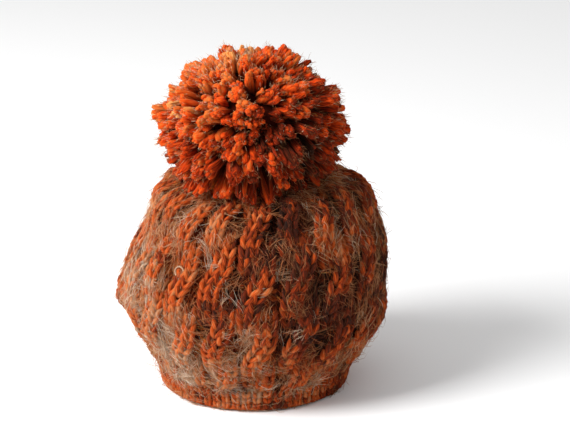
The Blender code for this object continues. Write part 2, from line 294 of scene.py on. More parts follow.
def tubes(centres, radii, upright, sides, capLength=0.6, pointed=False):
    # Closed tubes along centre lines of shape (count, rings, 3). A pointed one ends at its last centre
    count = len(centres)
    along = unit(np.gradient(centres, axis=1))
    across = unit(upright[:, None, :] - (upright[:, None, :] * along).sum(-1, keepdims=True) * along)
    third = np.cross(along, across)
    turn = np.arange(sides) / sides * fullTurn
    ring = across[:, :, None] * np.cos(turn)[:, None] + third[:, :, None] * np.sin(turn)[:, None]
    rings = centres.shape[1] - (1 if pointed else 0)
    wall = (centres[:, :, None] + ring * radii[:, :, None, None])[:, :rings].reshape(count, rings * sides, 3)
    root = centres[:, 0] - along[:, 0] * radii[:, :1] * capLength
    tip = centres[:, -1] + along[:, -1] * radii[:, -1:] * (0 if pointed else capLength)
    points = np.concatenate([wall, tip[:, None]] if pointed else [wall, tip[:, None], root[:, None]], axis=1)

    tipIndex = rings * sides
    quads, quadPlaces, ends, endPlaces = [], [], [], []
    for j in range(sides):
        k = (j + 1) % sides
        for i in range(rings - 1):
            quads.append((i * sides + j, i * sides + k, (i + 1) * sides + k, (i + 1) * sides + j))
            quadPlaces.append(((j, i + 1), (j + 1, i + 1), (j + 1, i + 2), (j, i + 2)))
        last = (rings - 1) * sides
        ends.append((last + j, last + k, tipIndex))
        endPlaces.append(((j, rings), (j + 1, rings), (j + 0.5, rings + 1)))
        if not pointed:
            ends.append((tipIndex + 1, k, j))
            endPlaces.append(((j + 0.5, 0), (j + 1, 1), (j, 1)))
    if pointed:
        ends.append((0, 2, 1))
        endPlaces.append(((0, 1), (2, 1), (1, 0)))
    stride = points.shape[1]
    shift = (np.arange(count) * stride)[:, None, None]
    quads = (np.array(quads)[None] + shift).reshape(-1, 4)
    ends = (np.array(ends)[None] + shift).reshape(-1, 3)
    local = np.concatenate([np.array(places, float).reshape(-1, 2) for places in (quadPlaces, endPlaces)])
    local /= (sides, rings + 1)
    split = len(quadPlaces) * 4

    cells = math.ceil(math.sqrt(count))
    corner = np.stack([np.arange(count) % cells, np.arange(count) // cells], axis=-1)[:, None]
    placed = (corner + 0.06 + 0.88 * local[None]) / cells
    whole = np.broadcast_to(local[None], (count, len(local), 2))
    return {
        "points": points.reshape(-1, 3),
        "faces": quads.tolist() + ends.tolist(),
        "baking": np.concatenate([placed[:, :split].reshape(-1, 2), placed[:, split:].reshape(-1, 2)]),
        "winding": np.concatenate([whole[:, :split].reshape(-1, 2), whole[:, split:].reshape(-1, 2)]),
        "count": count,
        "rings": rings,
        "sides": sides,
        "pointed": pointed,
    }


def overPoints(made, perRing):
    # A value for each ring of each tube, as one for each point
    perRing = np.broadcast_to(perRing, (made["count"], made["rings"]))
    wall = np.repeat(perRing, made["sides"], axis=1)
    ends = perRing[:, -1:] if made["pointed"] else perRing[:, [-1, 0]]
    return np.concatenate([wall, ends], axis=1).ravel()


def addPiece(name, made, tones, paintedShades, material):
    # A joined mesh of tubes as one piece, with a tone for each tube and a painted shading for each ring: a
    # factor on its colour that paints shade below 1 and light above 1
    mesh = bpy.data.meshes.new(name)
    mesh.from_pydata(made["points"].tolist(), [], made["faces"])
    for layer, values in (("OFBake", made["baking"]), ("winding", made["winding"])):
        mesh.uv_layers.new(name=layer).data.foreach_set("uv", values.astype(np.float32).ravel())
    for layer, values in (("tone", tones[:, None]), ("shade", paintedShades)):
        attribute = mesh.attributes.new(layer, "FLOAT", "POINT")
        attribute.data.foreach_set("value", overPoints(made, values).astype(np.float32))
    mesh.shade_smooth()
    mesh.materials.append(material)
    piece = bpy.data.objects.new(name, mesh)
    bpy.context.scene.collection.objects.link(piece)
    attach(piece, "root")
    print(name, sum(len(face) - 2 for face in made["faces"]), "triangles")
    return piece


# Colours of the yarn, from its darkest fibres to its palest, against the tone that picks them
yarnColours = [
    (0.00, (0.014, 0.006, 0.004)),
    (0.18, (0.050, 0.011, 0.005)),
    (0.36, (0.165, 0.019, 0.004)),
    (0.52, (0.430, 0.062, 0.007)),
    (0.66, (0.440, 0.130, 0.038)),
    (0.82, (0.300, 0.155, 0.082)),
    (1.00, (0.560, 0.420, 0.300)),
]


# Colours of the loose mohair, which took less of the dye
hazeColours = [
    (0.00, (0.020, 0.009, 0.006)),
    (0.18, (0.066, 0.021, 0.010)),
    (0.36, (0.175, 0.050, 0.020)),
    (0.52, (0.370, 0.108, 0.036)),
    (0.66, (0.430, 0.180, 0.078)),
    (0.82, (0.410, 0.225, 0.130)),
    (1.00, (0.620, 0.460, 0.340)),
]


# Finish of the wool, by the shader's own sockets
woolFinish = {
    "Roughness": 0.95,
    "Specular IOR Level": 0.08,
    "Sheen Weight": 0.05,
    "Sheen Roughness": 0.5,
    "Sheen Tint": (1.0, 0.5, 0.3, 1.0),
    "Subsurface Weight": 0.35,    # light that comes through the fibres
    "Subsurface Radius": (1.0, 0.6, 0.4),
    "Subsurface Scale": 1.5 * mm,
}

# Its streaks of fibre and its plies
woolGrain = {
    "detail": 2.5,
    "lean": 0.35,                 # turns that a streak makes along a yarn
    "eachYarn": 91.0,             # moves the streaks from one yarn's tone to the next
    "plainScale": 420.0,
    "plyTurns": 2.2,
    "fibreHeight": 2.5,           # of the streaks in the bump, against the plies
    "bumpDistance": 0.4 * mm,
}


def addNode(tree, kind, inputs=(), **settings):
    # A node with its settings, each input being a value or the socket that feeds it
    node = tree.nodes.new("ShaderNode" + kind)
    for name, value in settings.items():
        setattr(node, name, value)
    for name, value in dict(inputs).items():
        if isinstance(value, bpy.types.NodeSocket):
            tree.links.new(value, node.inputs[name])
        else:
            node.inputs[name].default_value = value
    return node


def worked(tree, operation, *inputs):
    return addNode(tree, "Math", enumerate(inputs), operation=operation).outputs[0]


def heatherGroup(name, colours):
    # The colour of a spot of heathered wool, from its tone, its flecks, its painted shading (painted light
    # and shade) and the dye's tint
    group = bpy.data.node_groups.new(name, "ShaderNodeTree")
    for socket in ("Tone", "Fleck", "Unevenness", "PaintedShading"):
        group.interface.new_socket(socket, in_out="INPUT", socket_type="NodeSocketFloat")
    group.interface.new_socket("Tint", in_out="INPUT", socket_type="NodeSocketColor")
    group.interface.new_socket("Color", in_out="OUTPUT", socket_type="NodeSocketColor")
    given = group.nodes.new("NodeGroupInput").outputs
    fleck = worked(group, "SUBTRACT", given["Fleck"], 0.5)
    total = worked(group, "MULTIPLY_ADD", fleck, given["Unevenness"], given["Tone"])
    ramp = addNode(group, "ValToRGB", {"Fac": total})
    while len(ramp.color_ramp.elements) < len(colours):
        ramp.color_ramp.elements.new(0.5)
    for element, (position, colour) in zip(ramp.color_ramp.elements, colours):
        element.position = position
        element.color = (*colour, 1.0)
    # Painted light and shade: the ramp's colour scaled by the painted shading
    ramped = {0: ramp.outputs["Color"], "Scale": given["PaintedShading"]}
    shaded = addNode(group, "VectorMath", ramped, operation="SCALE")
    tinted = addNode(group, "VectorMath", {0: shaded.outputs[0], 1: given["Tint"]}, operation="MULTIPLY")
    group.links.new(tinted.outputs[0], group.nodes.new("NodeGroupOutput").inputs["Color"])
    return group


heather = heatherGroup("heatheredWool", yarnColours)
haze = heatherGroup("looseMohair", hazeColours)


def woolMaterial(name, dye, unevenness, tint=(1, 1, 1), streaks=(14, 1.6), plies=0, twistDepth=0.5):
    # Wool whose colour follows each yarn's tone and its painted shading, with streaks of fibre along it and
    # its plies as a bump.
    # Without streaks the fibres run every way
    material = bpy.data.materials.new(name)
    material.use_nodes = True
    tree = material.node_tree
    shader = tree.nodes["Principled BSDF"]
    for socket, value in woolFinish.items():
        shader.inputs[socket].default_value = value
    tone = addNode(tree, "Attribute", attribute_name="tone").outputs["Fac"]
    # Painted shading: painted light and shade carried on the pieces' points
    shade = addNode(tree, "Attribute", attribute_name="shade").outputs["Fac"]
    if streaks:
        winding = addNode(tree, "UVMap", uv_map="winding").outputs["UV"]
        around, upward, _ = addNode(tree, "SeparateXYZ", {0: winding}).outputs
        leaning = worked(tree, "MULTIPLY_ADD", upward, woolGrain["lean"], around)
        place = addNode(tree, "CombineXYZ", {
            "X": worked(tree, "MULTIPLY", leaning, streaks[0]),
            "Y": worked(tree, "MULTIPLY", upward, streaks[1]),
            "Z": worked(tree, "MULTIPLY", tone, woolGrain["eachYarn"]),
        }).outputs[0]
    else:
        place = addNode(tree, "TexCoord").outputs["Object"]
    scale = 1.0 if streaks else woolGrain["plainScale"]
    grain = {"Vector": place, "Scale": scale, "Detail": woolGrain["detail"]}
    fibre = addNode(tree, "TexNoise", grain).outputs["Fac"]
    dyed = {"Tone": tone, "Fleck": fibre, "Unevenness": unevenness, "PaintedShading": shade, "Tint": (*tint, 1.0)}
    wool = addNode(tree, "Group", dyed, node_tree=dye)
    tree.links.new(wool.outputs["Color"], shader.inputs["Base Color"])
    if plies:
        turns = worked(tree, "MULTIPLY", around, plies * fullTurn)
        wound = worked(tree, "MULTIPLY_ADD", upward, woolGrain["plyTurns"] * fullTurn, turns)
        wave = worked(tree, "SINE", wound)
        height = worked(tree, "MULTIPLY_ADD", fibre, woolGrain["fibreHeight"], wave)
        raised = {"Strength": twistDepth, "Distance": woolGrain["bumpDistance"], "Height": height}
        tree.links.new(addNode(tree, "Bump", raised).outputs["Normal"], shader.inputs["Normal"])
    return material


# Patches of tone: the variegated yarn's own, and painted shade where darker patches on the right side and
# under the pompom stand in for shade: angle in degrees, height and reach in millimetres, and the tone it adds
yarnAndShadePatches = [
    (-128, 40, 34, 0.28),
    (-100, 28, 30, 0.12),
    (-90, 136, 9, 0.10),
    (-88, 128, 26, -0.15),
    (-82, 91, 12, 0.26),
    (-90, 92, 26, -0.14),
    (-91, 66, 12, 0.22),
    (-107, 88, 17, -0.14),
    (-108, 62, 17, -0.20),
    (-88, 12, 10, 0.16),
    (-117, 8, 19, -0.28),
    (-112, 112, 24, 0.04),
    (-120, 150, 13, 0.14),
    (-107, 136, 14, 0.20),
    (-158, 84, 14, 0.12),
    (-150, 100, 40, 0.08),
    (-62, 60, 34, -0.08),
    # Painted shadow of the pompom on the cloth below it
    (-68, 147, 17, -0.28),
    (-49, 134, 9, 0.08),
    (-58, 128, 9, 0.14),
    (-41, 126, 10, 0.20),
    (-53, 96, 18, -0.10),
    # Painted shade over the right side, away from the lamp, together with the yarn's own browner colour there
    (-30, 90, 56, -0.17),
    (-25, 104, 16, 0.12),
    (-42, 104, 12, 0.14),
    (-45, 150, 22, -0.10),
    (-20, 82, 24, -0.06),
    (-5, 110, 50, -0.12),
    (40, 60, 40, 0.08),
    (75, 110, 45, 0.10),
    (120, 50, 45, -0.10),
    (150, 120, 35, 0.08),
]


def patchesAt(points, patches):
    # What the patches add at each point
    angle = np.arctan2(points[..., 1], points[..., 0])
    total = np.zeros(points.shape[:-1])
    for degrees, middle, reach, extra in patches:
        around = angleFrom(angle, math.radians(degrees)) * 90 * mm
        away = (around**2 + (points[..., 2] - middle * mm) ** 2) / (reach * mm) ** 2
        total = total + extra * np.exp(-away)
    return total


def toneAt(points):
    # The yarn's tone where it lies: slow changes, the colour runs of its rows and the patches, some of which
    # are painted shade
    angle = np.arctan2(points[..., 1], points[..., 0])
    runs = np.stack([np.cos(angle) * 1.6, np.sin(angle) * 1.6, points[..., 2] / (7 * mm)], axis=-1)
    return 0.43 + 0.17 * perlin(points, 30.0) + 0.16 * perlin(runs) + patchesAt(points, yarnAndShadePatches)


# Cloth: a thin closed sheet on the solid's folds, which carries the stitches and is darker than them, painted
# shade where it shows between them
cloth = {
    "columns": 180,
    "rows": 60,
    "underStitches": 3.6 * mm,    # from the rope crests' surface down to the sheet's outside
    "relief": 0.6,                # share of the ropes' relief that it takes
    "foot": 1.2 * mm,             # its lowest edge, and how much less deep it lies there
    "footReach": 20 * mm,
    "thickness": 2.4 * mm,
    "purlHeight": 0.8 * mm,       # bumps of the purl side, on the inside
    "purlRows": 40,
    "crownStop": 0.985,
    # Painted shade: the sheet's tone is lowered and its colour scaled down where it shows in the gaps between
    # stitches
    "paintedGapShade": 0.22,               # tone, against the stitches
    "shade": 0.8,
    "flat": (0.62, 0.25),         # round the belly, and from hem to crown
    "flatArea": 0.104,
}


def ropeHeight(across, turned):
    best = np.zeros_like(across)
    for strand in (0.0, math.pi):
        off = (across - clothShape["strandSwing"] * strandSway(turned + strand)) / clothShape["strandShare"]
        front = 0.5 + 0.5 * np.cos(turned + strand)
        level = 0.48 + 0.52 * front
        best = np.maximum(best, level * np.sqrt(np.maximum(0, 1 - off * off)))
    return best * (1 - smoothStep(0.37, 0.5, np.abs(across)))


def clothRelief(angle, distance):
    repeat = angle / fullTurn * clothShape["cables"]
    cable = np.floor(repeat)
    wander = clothShape["cableWander"] * np.sin(distance / clothShape["wanderLength"] + cable)
    height = ropeHeight(repeat - cable - 0.5 + wander, ropeTurn(cable, distance))
    return -ropeDepth(distance) * (1 - height) - grooveDepth(distance)


def clothSheet():
    columns, rows = cloth["columns"], cloth["rows"]
    stop = clothLength * cloth["crownStop"]
    distances = np.linspace(0, stop, rows + 1)
    angles = (np.arange(columns) + 0.5) / columns * fullTurn
    angle, distance = np.meshgrid(angles, distances)
    sunk = clothRelief(angle, distance) * cloth["relief"] - cloth["underStitches"]
    sunk = sunk + cloth["foot"] * (1 - smoothStep(0, cloth["footReach"], distance))
    outer, normal = clothPoint(angle, distance, sunk)
    purlRow = distance / clothLength * cloth["purlRows"]
    bumps = 0.6 + 0.4 * np.cos(angle * clothShape["cables"] * 3 + math.pi * np.floor(purlRow))
    purl = 0.5 + 0.5 * np.sin(fullTurn * purlRow) * bumps
    inner = outer - normal * (cloth["thickness"] + cloth["purlHeight"] * purl)[..., None]
    outer[0, :, 2] = cloth["foot"]
    inner[0, :, 2] = cloth["foot"]
    inner[..., 2] = np.maximum(inner[..., 2], cloth["foot"])

    slitOpen = np.zeros((rows, columns), bool)
    seams = {0.0: columns - 1, math.pi: columns // 2 - 1}
    for slit in slits:
        height = basePoint(placeAt(distances), np.full(rows + 1, slit["angle"]))[:, 2]
        middle = (height[:-1] + height[1:]) / 2
        slitOpen[:, seams[slit["angle"]]] = (middle > slit["low"]) & (middle < slit["high"])

    # Quads of the outer and inner face, then the walls at the hem and round the slits
    size = (rows + 1) * columns
    outside = np.arange(size).reshape(rows + 1, columns).tolist()
    faces = []

    def wall(start, end):
        faces.append((start, end, end + size, start + size))

    for i in range(rows):
        lower, upper = outside[i], outside[i + 1]
        for j in range(columns):
            k = (j + 1) % columns
            if not slitOpen[i, j]:
                faces.append((lower[j], lower[k], upper[k], upper[j]))
                faces.append((lower[j] + size, upper[j] + size, upper[k] + size, lower[k] + size))
                continue
            wall(lower[j], upper[j])
            wall(upper[k], lower[k])
            if not slitOpen[i - 1, j]:
                wall(lower[k], lower[j])
            if not slitOpen[i + 1, j]:
                wall(upper[j], upper[k])
    crown = 2 * size
    centres = [outer[-1].mean(axis=0), inner[-1].mean(axis=0)]
    points = np.concatenate([outer.reshape(-1, 3), inner.reshape(-1, 3), centres])
    for j in range(columns):
        k = (j + 1) % columns
        wall(outside[0][k], outside[0][j])
        faces.append((outside[rows][j], outside[rows][k], crown))
        faces.append((outside[rows][k] + size, outside[rows][j] + size, crown + 1))

    mesh = bpy.data.meshes.new("cosyCloth")
    mesh.from_pydata(points.tolist(), [], faces)
    paintedShades = np.full(len(points), cloth["shade"])
    for layer, values in (("tone", toneAt(points) - cloth["paintedGapShade"]), ("shade", paintedShades)):
        mesh.attributes.new(layer, "FLOAT", "POINT").data.foreach_set("value", values.astype(np.float32))
    mesh.shade_smooth()
    mesh.materials.append(woolMaterial("clothGroundWool", heather, 0.5, streaks=None))
    piece = bpy.data.objects.new("cosyCloth", mesh)
    bpy.context.scene.collection.objects.link(piece)
    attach(piece, "root")
    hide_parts("knitted_body")
    print("cosyCloth", len(faces), "faces")
    return piece


cosyCloth = clothSheet()

# A leg of a V stitch: where its rings lie from foot to top, how it arches, and how its yarn swells
legSteps = np.array([0.0, 0.30, 0.62, 1.0])
legArch = np.sin(math.pi * (0.12 + 0.74 * legSteps))

# Cable stitches: two columns of V stitches on each strand, a leg at a time
cableStitches = {
    "rowHeight": 6.4 * mm,
    "stop": 0.93,                 # share of the cloth's length
    "columnShare": 0.115,         # of the cable pitch, from the strand's middle to a column's
    "yarnRadius": 1.75 * mm,
    "swell": np.array([0.62, 1.06, 1.10, 0.66]),
    "legFoot": 0.06,              # column widths from the column's middle
    "legLean": 0.52,              # how far a leg's top stands from the column's middle, in column widths
    "reach": (-0.72, 0.74),       # of a leg, in row heights from the row's middle
    "arch": 1.1 * mm,
    "frontLeast": 0.16,           # strands further behind than this are hidden
    "slimmest": 0.62,
    "fullWidth": 6.5 * mm,        # columns at least this wide have the full yarn
    "sides": 6,
    "tone": 0.03,
    "toneSpread": 0.09,
    # Painted shade at both ends of each leg, where it dives between the stitches
    "paintedShades": np.array([0.62, 0.94, 0.94, 0.70]),
    # Painted shade on the strand that passes behind the front one
    "behindPaintedShade": 0.64,
}


def stitchFrames(cable, strand, side, distance):
    # Place, width, and the three directions of each stitch on a strand
    step = 2.5 * mm
    beside = 0.03                 # of the cable pitch
    here, normal, front = strandPoint(cable, strand, side, distance)
    below, above = (strandPoint(cable, strand, side, distance + way * step)[0] for way in (-1, 1))
    nearer, further = (strandPoint(cable, strand, side + way * beside, distance)[0] for way in (-1, 1))
    up = unit(above - below)
    out = unit(np.cross(unit(further - nearer), up))
    out = unit(out * 0.6 + normal * 0.4)
    across = unit(np.cross(up, out))
    width = np.linalg.norm(further - nearer, axis=-1) / beside * cableStitches["columnShare"]
    return here, up, across, out, width, front


def legPaths(here, up, across, out, width, height, hand):
    # The centre line of one leg of each stitch, from its foot at the column's middle to its top
    low, high = cableStitches["reach"]
    sideways = hand * (cableStitches["legFoot"] + cableStitches["legLean"] * legSteps**0.8)
    upward = low + (high - low) * legSteps
    raised = (1.6 * legArch - 0.9) * cableStitches["arch"]
    line = here[:, None] + across[:, None] * sideways[None, :, None] * width[:, None, None]
    line = line + up[:, None] * upward[None, :, None] * height[:, None, None]
    return line + out[:, None] * raised[None, :, None]


def cableLegs():
    band = clothShape["hemBand"]
    rows = int((clothLength * cableStitches["stop"] - band) / cableStitches["rowHeight"])
    cable, strand, column, row = (grid.ravel() for grid in np.meshgrid(
        np.arange(clothShape["cables"]), [0, 1], [-1, 1], np.arange(rows), indexing="ij"
    ))
    distance = band + (row + 0.5) * cableStitches["rowHeight"]
    distance = distance + dice.normal(0, 0.35 * mm, len(distance))
    frames = stitchFrames(cable, strand, column * cableStitches["columnShare"], distance)
    shown = frames[-1] > cableStitches["frontLeast"]
    here, up, across, out, width, front = (part[shown] for part in frames)
    height = cableStitches["rowHeight"] * dice.normal(1.0, 0.05, len(here))
    slim = np.clip(width / cableStitches["fullWidth"], cableStitches["slimmest"], 1.05)
    lines, tones, thick = [], [], []
    for hand in (-1, 1):
        line = legPaths(here, up, across, out, width, height, hand)
        lines.append(line + dice.normal(0, 0.18 * mm, line.shape))
        uneven = dice.normal(cableStitches["tone"], cableStitches["toneSpread"], len(here))
        tones.append(toneAt(here) + uneven)
        thick.append(slim * dice.normal(1.0, 0.07, len(here)))
    lines, tones, thick = (np.concatenate(values) for values in (lines, tones, thick))
    radii = thick[:, None] * cableStitches["swell"] * cableStitches["yarnRadius"]
    # Painted shade: legs of strands lying behind are darker, and each leg darker at its ends
    behind = cableStitches["behindPaintedShade"]
    paintedShades = np.tile(behind + (1 - behind) * smoothStep(0.1, 0.7, front), 2)
    return lines, radii, np.tile(out, (2, 1)), tones, paintedShades[:, None] * cableStitches["paintedShades"]


legLines, legRadii, legOuts, legTones, legPaintedShades = cableLegs()
stitchWool = woolMaterial("stitchWool", heather, 0.9, plies=2)
half = len(legLines) // 2
for name, part in (("cableStitchesA", slice(0, half)), ("cableStitchesB", slice(half, None))):
    legs = tubes(legLines[part], legRadii[part], legOuts[part], cableStitches["sides"])
    addPiece(name, legs, legTones[part], legPaintedShades[part], stitchWool)

# Purl ladders: two columns of rounded bumps in each ditch between the cables
purlBumps = {
    "stop": 0.90,                 # share of the cloth's length
    "columnShare": 0.115,         # of the cable pitch, from the ditch's middle to a column's
    "halfWidthShare": 0.085,
    "smile": 0.9 * mm,
    "yarnRadius": 1.5 * mm,
    "sunk": 5.4 * mm,             # from the rope crests' surface to the yarn's middle
    "gatheredSunk": 2.5 * mm,
    "tone": -0.08,
    # Painted shade in the ditches between the cables
    "shade": 0.78,
}


def purlLines():
    band = clothShape["hemBand"]
    rowHeight = cableStitches["rowHeight"]
    rows = int((clothLength * purlBumps["stop"] - band) / rowHeight)
    ditch, column, row = (grid.ravel() for grid in np.meshgrid(
        np.arange(clothShape["cables"]), [-1, 1], np.arange(rows), indexing="ij"
    ))
    distance = band + (row + 0.5 + 0.25 * column) * rowHeight + dice.normal(0, 0.3 * mm, len(row))
    middle = (ditch + column * purlBumps["columnShare"]) / clothShape["cables"] * fullTurn
    steps = np.array([-1.0, -0.45, 0.45, 1.0])
    angle = middle[:, None] + steps * purlBumps["halfWidthShare"] / clothShape["cables"] * fullTurn
    along = distance[:, None] + purlBumps["smile"] * (np.abs(steps) ** 1.5 - 0.4)
    deeper = gathering(along) * purlBumps["gatheredSunk"]
    lift = -purlBumps["sunk"] - deeper - 0.8 * mm * np.abs(steps) ** 2
    points, normal = clothPoint(angle, along, lift * np.ones_like(angle))
    points = points + dice.normal(0, 0.15 * mm, points.shape)
    slim = np.clip(1 - 0.35 * gathering(distance), 0.5, 1) * dice.normal(1, 0.08, len(row))
    radii = slim[:, None] * np.array([0.55, 1.0, 1.0, 0.55]) * purlBumps["yarnRadius"]
    tones = toneAt(points[:, 1]) + dice.normal(purlBumps["tone"], 0.07, len(row))
    return points, radii, normal[:, 1], tones


# Hem: knit ribs of V stitches with purl bumps between them, on a slanted cast-on edge
hemStitches = {
    "rows": np.array([4.6, 9.4, 14.0]) * mm,
    "rowHeight": 5.0 * mm,
    "yarnRadius": 1.55 * mm,
    "sunk": 1.5 * mm,
    "legFoot": 0.045,             # shares of a rib's pitch from the rib's middle
    "legLean": 0.27,
    "purlSunk": 3.3 * mm,
    "purlHalfWidth": 0.26,
    "purlTone": -0.07,
    "castOn": 120,
    "castOnRadius": 1.5 * mm,
    "castOnHeight": (2.3 * mm, 0.75 * mm),
    "castOnSunk": 2.1 * mm,
    "tone": 0.05,
}

# Slit edges: slanted edge stitches along both rims of each slit
edgeStitches = {
    "pitch": 4.6 * mm,
    "yarnRadius": 1.75 * mm,
    "slant": 3.0 * mm,
    "sunk": 4.4 * mm,
    "beside": (math.radians(0.9), math.radians(0.75)),
    "tone": 0.06,
}


def lay(laid, points, normal, jitter, radii, uneven, tone, toneSpread):
    # Adds yarns to those laid so far, each a little uneven in its line, thickness and tone
    count = len(points)
    lines = points + dice.normal(0, jitter, points.shape)
    thick = dice.normal(1, uneven, (count, 1)) if uneven else np.ones((count, 1))
    tones = toneAt(points[:, 1]) + dice.normal(tone, toneSpread, count)
    laid.append((lines, radii * thick, normal[:, 1], tones))


def hemLines(laid):
    ribs = clothShape["ribs"]
    grids = np.meshgrid(np.arange(ribs), np.arange(len(hemStitches["rows"])), indexing="ij")
    rib, row = (grid.ravel()[:, None] for grid in grids)
    distance = hemStitches["rows"][row]
    yarn, tone = hemStitches["yarnRadius"], hemStitches["tone"]
    for hand in (-1, 1):
        sideways = hand * (hemStitches["legFoot"] + hemStitches["legLean"] * legSteps**0.8)
        angle = (rib + 0.5 + sideways) / ribs * fullTurn
        along = np.maximum(distance + (1.2 * legSteps - 0.60) * hemStitches["rowHeight"], 1.2 * mm)
        lift = (1.4 * legArch - 1.0) * mm - hemStitches["sunk"] + np.zeros_like(angle)
        points, normal = clothPoint(angle, along, lift)
        lay(laid, points, normal, 0.15 * mm, np.array([0.62, 1.05, 1.05, 0.66]) * yarn, 0.06, tone, 0.08)
    steps = np.array([-1.0, -0.4, 0.4, 1.0])
    angle = (rib + steps * hemStitches["purlHalfWidth"]) / ribs * fullTurn
    along = np.maximum(distance + (0.5 * np.abs(steps) - 2.4) * mm, 1.4 * mm)
    lift = -hemStitches["purlSunk"] - 0.5 * mm * np.abs(steps) * np.ones_like(angle)
    points, normal = clothPoint(angle, along, lift)
    purlTone = hemStitches["purlTone"]
    lay(laid, points, normal, 0.12 * mm, np.array([0.6, 0.9, 0.9, 0.6]) * yarn, 0.06, purlTone, 0.08)

    count = hemStitches["castOn"]
    steps = np.linspace(-1, 1, 4)
    angle = (np.arange(count)[:, None] + steps * 0.62) / count * fullTurn
    middle, slant = hemStitches["castOnHeight"]
    lift = (-hemStitches["castOnSunk"] - 0.5 * mm * steps**2) * np.ones_like(angle)
    points, normal = clothPoint(angle, (middle + slant * steps) * np.ones_like(angle), lift)
    radii = np.array([0.7, 1.0, 1.0, 0.7]) * hemStitches["castOnRadius"]
    lay(laid, points, normal, 0.1 * mm, radii, 0.05, tone, 0.08)


def slitLines(laid):
    steps = np.array([-1.0, -0.35, 0.35, 1.0])
    for slit in slits:
        first, last = distanceAt(slit["low"]), distanceAt(slit["high"])
        count = int((last - first) / edgeStitches["pitch"])
        distance = first + (np.arange(count) + 0.5) * (last - first) / count
        beside, slant = edgeStitches["beside"]
        for hand in (-1, 1):
            angle = slit["angle"] + hand * beside + hand * steps * slant + np.zeros((count, 1))
            lift = -edgeStitches["sunk"] + (1 - steps**2) * 0.8 * mm + np.zeros_like(angle)
            points, normal = clothPoint(angle, distance[:, None] + steps * edgeStitches["slant"], lift)
            radii = np.array([0.6, 1.0, 1.0, 0.6]) * edgeStitches["yarnRadius"]
            lay(laid, points, normal, 0.15 * mm, radii, 0, edgeStitches["tone"], 0.09)


ground = [purlLines()]
hemLines(ground)
slitLines(ground)
groundLines, groundRadii, groundOuts, groundTones = (np.concatenate(same) for same in zip(*ground))
# Painted shade: purl bumps darkest, the other ground yarns a little dark, and every yarn's two ends darker
# where they dive into the cloth
groundPaintedShades = np.full((len(groundTones), 1), 0.95)
groundPaintedShades[:len(ground[0][0])] = purlBumps["shade"]
groundPaintedShades = groundPaintedShades * np.array([0.7, 1.0, 1.0, 0.7])
groundTubes = tubes(groundLines, groundRadii, groundOuts, 5)
addPiece(
    "purlAndHemStitches", groundTubes, groundTones, groundPaintedShades, stitchWool
)

# Pompom: a core darkened as painted shade inside the ball, and blunt ends of plied yarn all over it
ball = {
    "centre": np.array([-1, -7, 204]) * mm,
    "radius": 67 * mm,
    "top": 44.5 * mm,
    "seat": 160.6 * mm,
    "underFullness": 5.0,
    "core": 0.70,
    "ends": 1560,
    "locks": 300,                 # ends lean together in this many locks
    "lean": 0.55,
    "uneven": 0.045,
    "hollows": 0.16,
    "sway": 5 * mm,
    "stray": 1.7 * mm,
    "lockStray": 3.0 * mm,
    "droop": 7 * mm,
    "plyRadius": 1.85 * mm,
    "plyOffset": 1.4 * mm,
    "twist": 0.75,                # turn from one ring of a ply to the next
    "tone": 0.50,
    "rings": np.array([0.60, 0.76, 0.88, 0.96, 1.0]),
    "swell": np.array([0.45, 0.80, 1.08, 1.08, 0.78]),
    # Painted shade at each end's root, deep in the ball, rising to painted light on its tip
    "paintedShades": np.array([0.14, 0.40, 0.90, 1.19, 1.23]),
    # Painted light: ends are brighter toward the top, as lit from above
    "paintedLightUp": 0.16,              # what an end's shade gains toward the top
}


def ballPoint(direction, share):
    sideways = np.hypot(direction[..., 0], direction[..., 1])
    under = direction[..., 2] < 0
    power = ball["underFullness"]
    fuller = (sideways**power + np.abs(direction[..., 2]) ** power) ** (-1 / power)
    fuller = np.where(under, fuller, 1.0)
    tall = np.where(under, ball["centre"][2] - ball["seat"], ball["top"])
    reach = np.stack([np.full_like(tall, ball["radius"]), np.full_like(tall, ball["radius"]), tall], axis=-1)
    return ball["centre"] + direction * reach * (share * fuller)[..., None]


def spiral(count, lowest, jitter):
    index = np.arange(count)
    height = 1 - (1 - lowest) * (index + 0.5) / count
    reach = np.sqrt(1 - height**2)
    turn = index * math.pi * (3 - math.sqrt(5))
    points = np.stack([reach * np.cos(turn), reach * np.sin(turn), height], axis=-1)
    return unit(points + dice.normal(0, jitter, points.shape))


def crownHeight(x, y):
    # Height of the cloth's crests under a point
    angle = np.arctan2(y, x)
    reach = np.hypot(x, y)
    places = np.linspace(6, len(sections) - 3, 60)
    points = basePoint(places[None] * np.ones((len(angle), 1)), angle[:, None] * np.ones((1, 60)))
    inside = np.hypot(points[..., 0], points[..., 1]) >= reach[:, None]
    return np.where(inside, points[..., 2], 0).max(axis=1)


